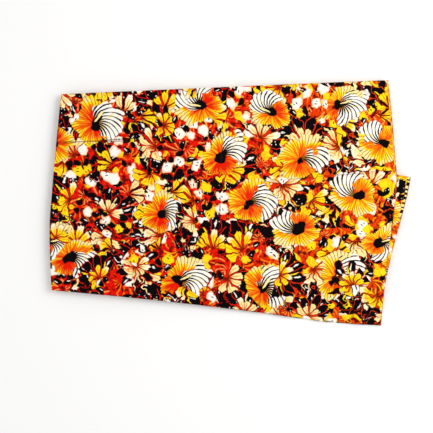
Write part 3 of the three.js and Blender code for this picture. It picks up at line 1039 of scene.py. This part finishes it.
ticks = blossom.grade(tick_wave, 0.2, 0.13) & ticks & (turn_chance > 0.4)
color = blossom.paint(
    YELLOW,
    (dye_chance > yellow_share, WHITE),
    (blossom.grade(past_rim, -0.3, 0.0, 0, 0.6), AMBER),
    (ticks, BLACK),
)
blossom_drawing = blossom.finished(color, mask)

# %% Ground drawing
TUFT_SPACING, TUFT_RADIUS, TUFT_STROKES = 28 * MM, 20 * MM, 11
ground, (place, yellow_drift_and_light) = new_group("ground_drawing", ["Place", "Yellow drift and light"], ["Color"])
local, _, (_, bend_chance, dye_chance) = ground.scattered(
    place, TUFT_SPACING, TUFT_RADIUS, looseness=1.0
)
reach, angle = ground.polar(ground.vector("ADD", local, (0.5, 0, 0)))
swept = reach * (bend_chance - 0.5) * 1.8 + angle
strokes = ground.spokes(swept, TUFT_STROKES, ground.grade(reach, 0.2, 1.5, 0.2, 0.11))
strokes = strokes & ground.grade(reach, 0.12, 0.3)
strokes = strokes & ground.grade(ground.cloud(place, 60, 1), 0.44, 0.52)
shadow = ground.spokes(swept + 0.2, TUFT_STROKES, 0.08)
deep_red = ground.grade(ground.cloud(place, 110), 0.53, 0.59)
stroke_color = ground.paint(ORANGE, (dye_chance > 0.5, SALMON), (bend_chance > 0.85, AMBER))
# A yellow wash over the ground, more of it towards the brighter side: partly print, partly
# painted light.
wash = ground.grade(yellow_drift_and_light * 0.13 + ground.cloud(place, 38, 1), 0.65, 0.69)
washed = ground.paint(YELLOW, (strokes * 0.9, AMBER), (shadow * 0.5, ORANGE))
color = ground.paint(
    RED, (deep_red | shadow * 0.6, DARK_RED), (strokes, stroke_color), (wash, washed)
)
ground_drawing = ground.finished(color)

# %% Leaf drawing
CLUSTERS_PER_METRE = 13
LEAF_SPACING, LEAF_RADIUS = 13.5 * MM, 8.5 * MM
leaf, (place,) = new_group("leaf_drawing", ["Place"], ["Color", "Mask"])
local, middle, (_, crescent_chance, print_chance) = leaf.scattered(
    place, LEAF_SPACING, LEAF_RADIUS, looseness=0.9
)
x, y, _ = leaf.parts(local)
blade = leaf.oval(x, y + x * x * 0.25, middle=(0, 0), size=(1.02, 0.58), soft=0.1)
crescent = leaf.oval(x, y, middle=(0.2, 0.16), size=(0.4, 0.1), soft=0.25)
cut_x = leaf.parts(place)[0]
clustered = leaf.grade(leaf.cloud(middle, CLUSTERS_PER_METRE, 1), 0.44, 0.54)
leaf_share = leaf.grade(cut_x, -0.3, 0.12, 0.44, 0.06)
leaf_share = leaf_share + (clustered & leaf.grade(cut_x, 0.05, 0.26, 0.5, 0.3))
color = leaf.paint(BLACK, (crescent & (crescent_chance > 0.7), WHITE))
leaf_drawing = leaf.finished(color, blade & (print_chance < leaf_share))

# %% [markdown]
# ## The whole print
# A printer lays one dye after another, and so do the nodes: the ground, the leaves, the
# blossoms and two scatters of daisies, then small pale dots on the black, the large flowers,
# and a last scatter of smaller daisies over their edges. A slow wander of the cloth's places
# keeps every edge hand-cut, as resist printing leaves it.

# %% Print
cloth, (place,) = new_group("wax_print", ["Place"], ["Color"])
# How far across towards the brighter side: it drives a yellower wash that is partly print, partly
# painted light.
yellow_drift_and_light = cloth.grade(cloth.parts(place)[0], -0.05, 0.26)
wobble = cloth.cloud(place, 160, 1) - 0.5
place = cloth.vector("ADD", place, cloth.join(wobble * 0.002, wobble * -0.0016))
slow = cloth.cloud(place, 45, 2) - 0.5
swayed = cloth.vector("ADD", place, cloth.join(slow * 0.014, slow * -0.012))


def daisies(color, spacing, radius, shift_by, share):
    """Scattered daisies, of which a share is printed, and fewer away from the clusters."""
    local, middle, (_, daisy_chance, print_chance) = cloth.scattered(
        cloth.vector("ADD", swayed, shift_by), spacing, radius, looseness=0.75
    )
    grouped = cloth.cloud(cloth.vector("SUBTRACT", middle, shift_by), CLUSTERS_PER_METRE, 1)
    grouped = cloth.grade(grouped, 0.42, 0.52, 0.45 * share, share)
    spot = cloth.placed(daisy_drawing, local, daisy_chance, slow)
    return cloth.paint(color, (spot["Mask"] & (print_chance < grouped), spot["Color"]))


def dots_on_black(color):
    """Small pale dots in loose clusters, where the color under them is black."""
    middle, (print_chance, size_chance, _) = cloth.cells(place, 5.2 * MM, looseness=0.9)
    past = cloth.vector("DISTANCE", place, middle) - (size_chance * 0.0006 + 0.0005)
    dot = cloth.grade(past, 0.0002, -0.0002) & (print_chance < 0.28)
    dot = dot & cloth.grade(cloth.cloud(place, 28, 1), 0.5, 0.56)
    red = cloth.node("SeparateColor", (color,))
    return cloth.paint(color, (dot & cloth.grade(red, 0.04, 0.02), WHITE))


color = cloth.placed(ground_drawing, place, yellow_drift_and_light)["Color"]
color = cloth.laid_over(color, cloth.placed(leaf_drawing, place))
color = cloth.laid_over(color, cloth.placed(blossom_drawing, place, slow))
color = daisies(color, spacing=74 * MM, radius=50 * MM, shift_by=(0.013, 0.021, 0), share=1.0)
color = daisies(color, spacing=80 * MM, radius=49 * MM, shift_by=(0.4, 0.17, 0), share=0.85)
color = dots_on_black(color)
near = cloth.placed(flower_chart, place)
large = cloth.placed(flower_drawing, near["Local"], near["Chance"], slow, yellow_drift_and_light)
color = cloth.laid_over(color, large)
color = daisies(color, spacing=88 * MM, radius=39 * MM, shift_by=(0.71, 0.33, 0), share=0.55)
# Partly painted light: every colour is pushed towards yellow on the brighter side.
red, green, blue = cloth.node("SeparateColor", (color,), out=(0, 1, 2))
green = (red - green) * red * (yellow_drift_and_light * 0.08) + green
wax_print = cloth.finished(cloth.node("CombineColor", (red, green, blue)))
print(f"print: {len(wax_print.nodes)} nodes and groups in the whole, "
      f"{len(daisy_drawing.nodes)} in a daisy, {len(flower_drawing.nodes)} in a large flower")

# %% [markdown]
# ## The selvedge
# The print stops about 3 mm short of the cloth's woven edge, and runs a little skew to it,
# so that the margin dies out towards the front. It has only a light dye, a thin dark line
# where the weft turns back, and near the cloth's end a few short ticks, such as a mill
# prints to keep its rollers in step. It reads a map of its own, the distance from the edge.

# %% Selvedge drawing
MARGIN, EXTRA_AT_END, TICKS_PER_METRE = 3.2 * MM, 3 * MM, 120
selvedge, (margin,) = new_group("selvedge_drawing", ["Margin"], ["Color", "Mask"])
inward, along, _ = selvedge.parts(margin)
uneven = selvedge.cloud(selvedge.join(0.0, along), 60, 2)
inward = (uneven - 0.55) * 0.008 + inward
near_end = selvedge.grade(along, -0.395, -0.415)
width = near_end * EXTRA_AT_END + selvedge.grade(along, 0.0, 0.07, 0.0, MARGIN)
mask = selvedge.grade(inward - width, 0.0002, -0.0002) & selvedge.grade(width, 0.0, 0.001)
tick_wave = ((uneven * 0.02 + along) * TICKS_PER_METRE).zigzag(0.5)
tick = selvedge.grade(tick_wave, 0.27, 0.21) & selvedge.grade(inward, 0.0048, 0.0042) & near_end
edge_line = selvedge.grade(inward, 0.0006, 0.0003) * 0.8
color = selvedge.paint(
    dye(238, 120, 24),
    (selvedge.grade(uneven, 0.35, 0.6), dye(252, 190, 66)),
    (near_end * 0.9, CREAM),
    (tick, BLACK),
    (edge_line, dye(140, 52, 14)),
)
selvedge_drawing = selvedge.finished(color, mask | tick | edge_line)

# %% [markdown]
# ## Pressed lines and painted shade along the folds
# The cloth was folded more than once, so a few old fold lines cross it. Each is a narrow
# straight groove with painted shade in it: its colour is a little darker, as a sharp crease
# shades itself. Along the folds that the cloth has now, broken dark lines are painted shade
# where the cloth turns under. The rows give both ends of each line on the cut cloth and its
# strength, and the distance to the line shapes the groove.

# %% Pressed lines and painted shade along the folds
PRESSED = [  # from x, y to x, y in mm, strength
    (-12, 215, -34, -520, 0.8), (-302, 106, -170, 111, 1.0), (60, 38, 292, 58, 0.6),
    (-316, -28, -150, -20, 0.5), (205, -216, 262, -120, 0.6), (120, 214, 152, 40, 0.35),
    (-170, -166, -140, -40, 0.35), (214, 216, 288, 150, 0.4),
]
# Painted shade along the folds that the cloth has now: dark lines where it turns under.
FOLD_SHADE_LINES = [  # the same, along the folds
    (-313, -153, -183, -165, 0.9), (-196, -164, -71, -177, 1.0), (-84, -176, 41, -191, 0.9),
    (30, -190, 153, -207, 1.0), (140, -206, 209, -212, 0.9), (200, -212, 266, -216, 0.8),
    (-312, 20, -316, -38, 0.8), (-316, -30, -316, -98, 0.9), (-315, -90, -313, -152, 1.0),
    (-297, 190, -307, 77, 0.7), (-296, 191, -110, 199, 0.5), (84, 208, 276, 216, 0.4),
]
pressed, (place,) = new_group("pressed_lines", ["Place"], ["Depth", "Fold shade"])
drift = pressed.cloud(place, 14, 1) - 0.5
broken = pressed.grade(pressed.cloud(place, 90, 1), 0.3, 0.5, 0.45, 1.0)
dashes = pressed.grade(pressed.cloud(place, 70, 1), 0.42, 0.5)


def strongest_of(lines, drifting, width):
    """The strongest of several straight lines, each with a soft edge and fading ends."""
    strongest = None
    for x0, y0, x1, y1, strength in lines:
        run = np.array((x1 - x0, y1 - y0)) * MM
        from_start = pressed.vector("SUBTRACT", place, (x0 * MM, y0 * MM, 0))
        share = pressed.vector("DOT_PRODUCT", from_start, (*(run / (run @ run)), 0))
        share = pressed.number("MINIMUM", pressed.number("MAXIMUM", share, 0.0), 1.0)
        on_line = pressed.scaled((*run, 0), share)
        away = pressed.vector("LENGTH", pressed.vector("SUBTRACT", from_start, on_line))
        near_line = pressed.grade(abs(drift * drifting + away), width, width / 5)
        fade = pressed.grade(share, 0, 0.06) & pressed.grade(share, 1, 0.8)
        line = near_line & fade * strength
        strongest = line if strongest is None else strongest | line
    return strongest


# Each pressed groove also darkens the colour a little: painted shade, as a sharp crease shades
# itself.
grooves = strongest_of(PRESSED, drifting=0.006, width=1.5 * MM) & broken
# Broken lines of painted shade along the present folds.
shading = strongest_of(FOLD_SHADE_LINES, drifting=0.0, width=2.8 * MM) & dashes
pressed_lines = pressed.finished(grooves, shading)
print(f"{len(PRESSED)} pressed lines, {len(FOLD_SHADE_LINES)} lines of wear along the folds")

# %% [markdown]
# ## The weave
# The cloth is a plain weave of about 30 threads to the centimetre. Two crossed waves, one
# over and one under in turn, give the height of the threads. It is only seen close up,
# where it breaks the light, so the threads go into a bump, and into the colour only as a
# little painted shade between them.

# %% Weave
THREADS_PER_METRE = 3000.0
weave, (place, threads) = new_group("plain_weave", ["Place", "Threads"], ["Height", "Shade"])
x, y, _ = weave.parts(place)
crossed = abs((x * threads * np.pi).sine() * (y * threads * np.pi).sine())
slub = weave.cloud(weave.join(x * 8, y), 260, 1)
# Its Shade is painted shade: the colour up to 7% darker between the threads.
plain_weave = weave.finished(crossed * 0.8 + slub * 0.5, weave.grade(crossed, 0, 1, 0.93, 1.0))

# %% [markdown]
# ## The finished cloth
# Wax print is calendered and starched, so it has a dry, faint sheen: a rough surface with a
# little of the fabric shader's sheen. Every piece has its own finish with the same groups,
# and the hidden turns get painted shade: their colour is made a little darker, as cloth is
# that lies in its own shade.

# %% Cloth finishes
def printed_cotton(name, painted_shade):
    finish = bpy.data.materials.new(name)
    finish.use_nodes = True
    work = Workings(finish.node_tree)
    surface = finish.node_tree.nodes["Principled BSDF"].inputs
    cut = work.node("UVMap", (), uv_map="cut")
    margin = work.node("UVMap", (), uv_map="margin")
    drawn = work.placed(wax_print, cut)["Color"]
    drawn = work.laid_over(drawn, work.placed(selvedge_drawing, margin))
    lines = work.placed(pressed_lines, cut)
    # Painted shade: a darker colour in the pressed grooves, and dark lines along the folds.
    drawn = work.paint(drawn, (lines["Depth"] * 0.7, DARK_RED), (lines["Fold shade"], FOLD_SHADE_DARK))
    threads = work.placed(plain_weave, cut, THREADS_PER_METRE)
    # Painted shade: the weave's shade, and for the hidden turns a colour 8% darker.
    shade = threads["Shade"] * painted_shade
    shaded = {0: 1.0, 6: drawn, 7: work.join(shade, shade, shade)}
    drawn = work.node("Mix", shaded, out=2, data_type="RGBA", blend_type="MULTIPLY")
    bump = {"Strength": 0.25, "Distance": 0.1 * MM, "Height": threads["Height"]}
    crease = {"Strength": 0.8, "Distance": 0.6 * MM, "Height": lines["Depth"]}
    crease["Normal"] = work.node("Bump", bump)
    work.feed(surface["Base Color"], drawn)
    work.feed(surface["Roughness"], work.grade(threads["Height"], 0, 1.3, 0.86, 0.72))
    work.feed(surface["Normal"], work.node("Bump", crease, invert=True))
    surface["Specular IOR Level"].default_value = 0.05
    surface["Sheen Weight"].default_value = 0.01
    surface["Sheen Roughness"].default_value = 0.4
    return finish


for piece, name, painted_shade in (
    (top_panel_cloth, "top_cotton", 1.0),
    (tucked_end_cloth, "tucked_cotton", 1.0),
    (hidden_turns, "turned_cotton", 0.92),
):
    piece.data.materials.append(printed_cotton(name, painted_shade))
print("finishes:", sorted(m.name for m in bpy.data.materials))
